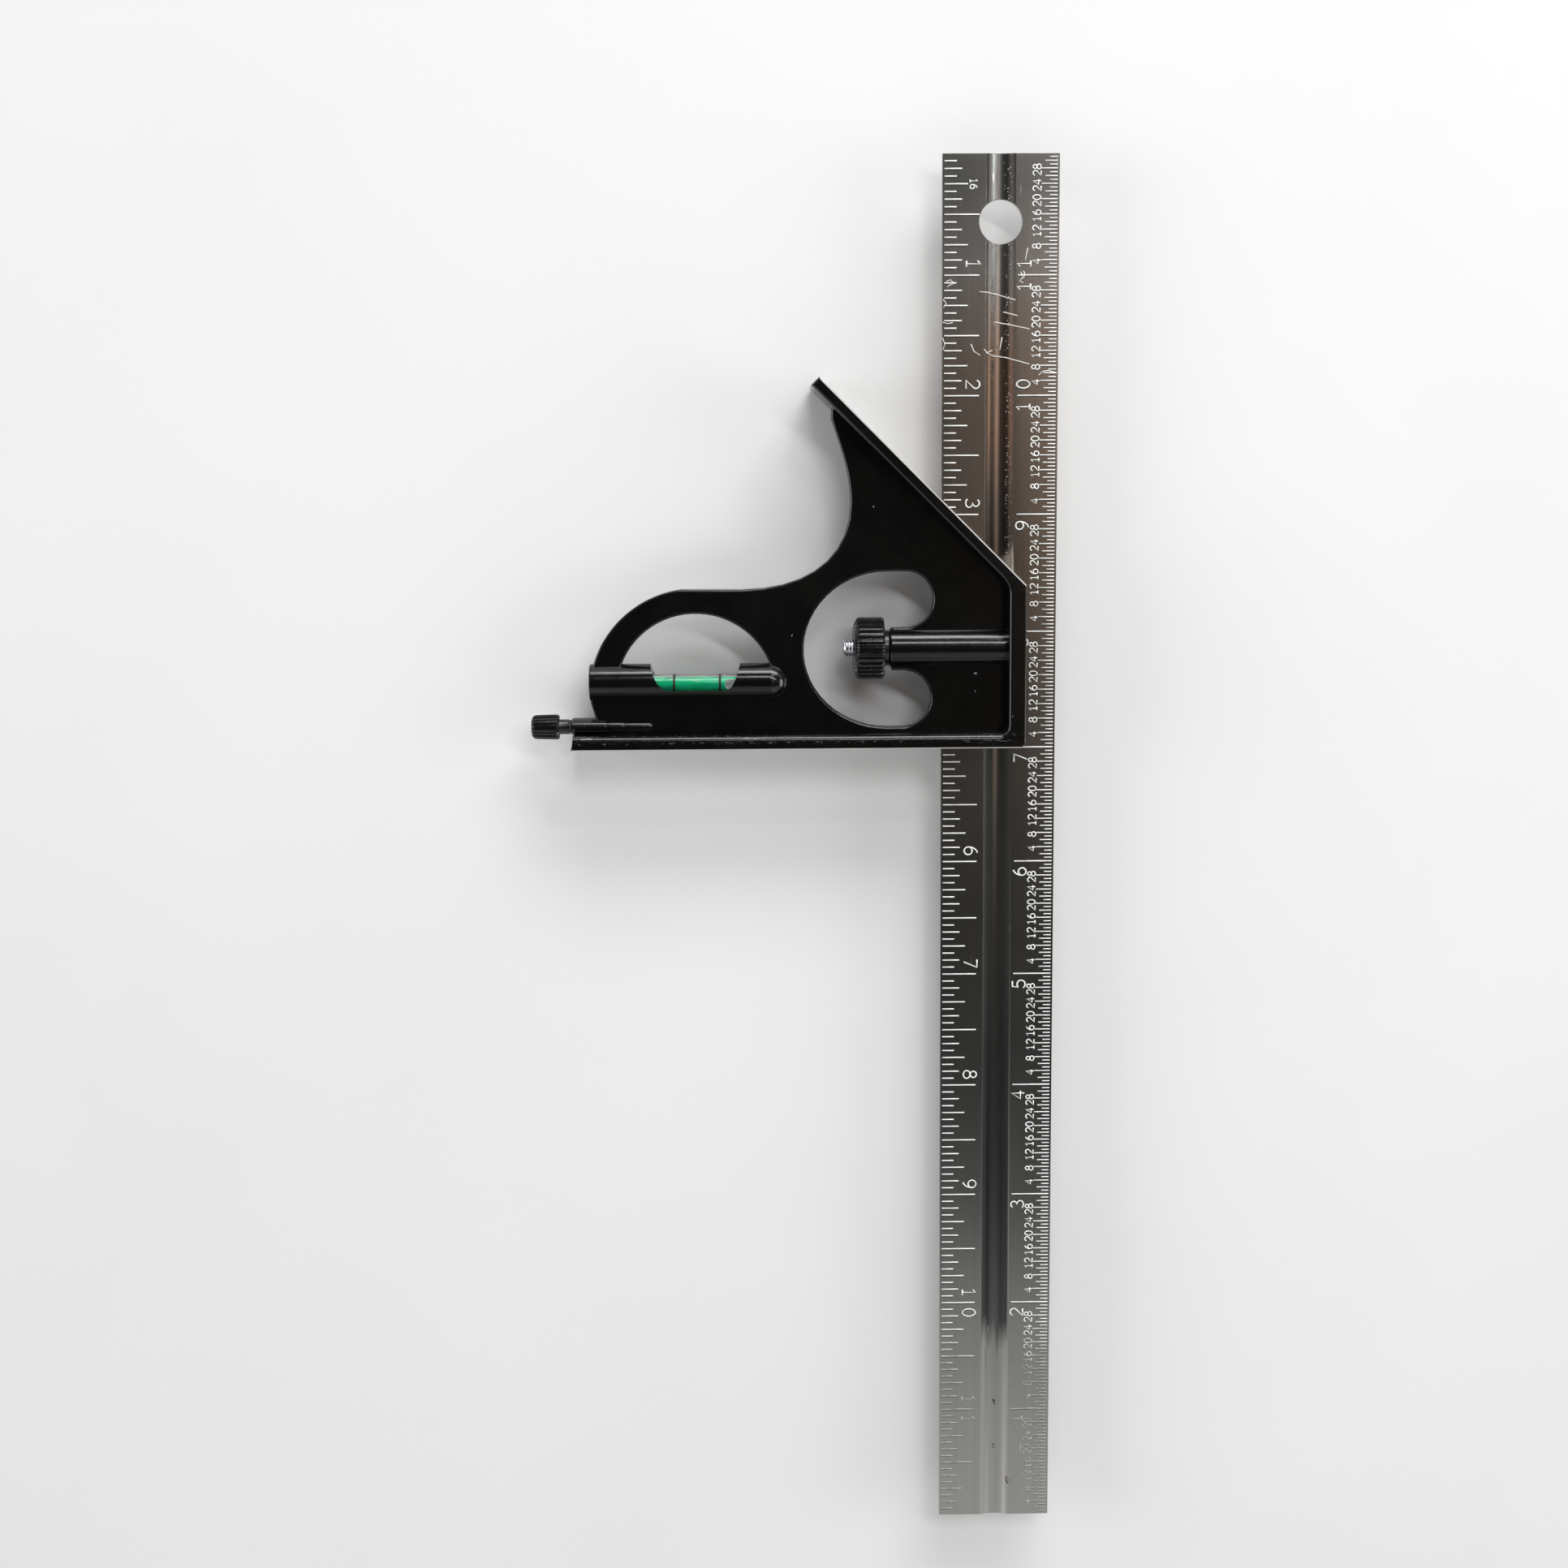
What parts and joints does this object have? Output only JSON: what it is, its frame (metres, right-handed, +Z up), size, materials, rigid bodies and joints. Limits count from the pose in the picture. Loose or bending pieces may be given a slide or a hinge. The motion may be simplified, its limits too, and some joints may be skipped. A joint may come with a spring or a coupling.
{
  "type": "combination square",
  "caption": "Combination square: sliding grooved steel rule in a cast head with 90 and 45 degree faces, knurled clamp nut, spirit vial and scriber.",
  "frame": {"origin": "middle of the whole tool's footprint, on the plane that the tool lies on, its back side down", "axes": "+X from the scriber towards the blade's free edge, +Y along the blade from its square-face side to its hang-hole end, +Z up from the back of the tool to its grooved, front side"},
  "size_m": [0.1148, 0.3048, 0.016],
  "materials": {
    "black_casting": "semi-gloss black paint on a zinc casting",
    "stainless_blade": "satin stainless steel with etched marks",
    "zinc_plated_steel": "bright zinc plating",
    "spring_steel": "bright drawn wire",
    "black_knurled_metal": "black finish on knurled metal",
    "clear_vial": "clear, polished",
    "green_liquid": "clear green spirit",
    "black_line": "matte black print",
    "setting_putty": "matte, set putty",
    "black_plastic": "moulded black plastic",
    "hardened_steel": "ground hardened steel",
    "black_rubber": "matte black rubber"
  },
  "bodies": {
    "head": {"head_casting": "black_casting", "clamp_spring": "spring_steel", "vial_tube": "clear_vial", "vial_cap": "clear_vial", "vial_liquid": "green_liquid", "vial_line_left": "black_line", "vial_line_right": "black_line", "vial_bedding_left": "setting_putty", "vial_bedding_right": "setting_putty", "barrel_plug": "black_plastic", "scriber_bush": "black_rubber"},
    "blade": {"blade": "stainless_blade"},
    "clamp_bolt": {"clamp_bolt": "zinc_plated_steel"},
    "clamp_nut": {"clamp_nut": "black_knurled_metal"},
    "scriber": {"scriber_knob": "black_knurled_metal", "scriber_needle": "hardened_steel"}
  },
  "joints": [
    {"name": "nut_spin", "type": "hinge", "parent": "head", "child": "clamp_nut", "pos_m": [0.0169, 0.0474, 0.008], "axis": [-1, 0, 0], "range_deg": [0, 540]},
    {"name": "bolt_slide", "type": "slide", "parent": "head", "child": "clamp_bolt", "axis": [1, 0, 0], "range_m": [0, 0.00106], "deforming": ["clamp_spring"]},
    {"name": "blade_slide", "type": "slide", "parent": "head", "child": "blade", "axis": [0, 1, 0], "range_m": [-0.095, 0.178]},
    {"name": "scriber_slide", "type": "slide", "parent": "head", "child": "scriber", "axis": [-1, 0, 0], "range_m": [0, 0.028]}
  ],
  "couplings": [
    {"joint": "bolt_slide", "follows": "nut_spin", "m_per_rad": 0.00011141}
  ]
}
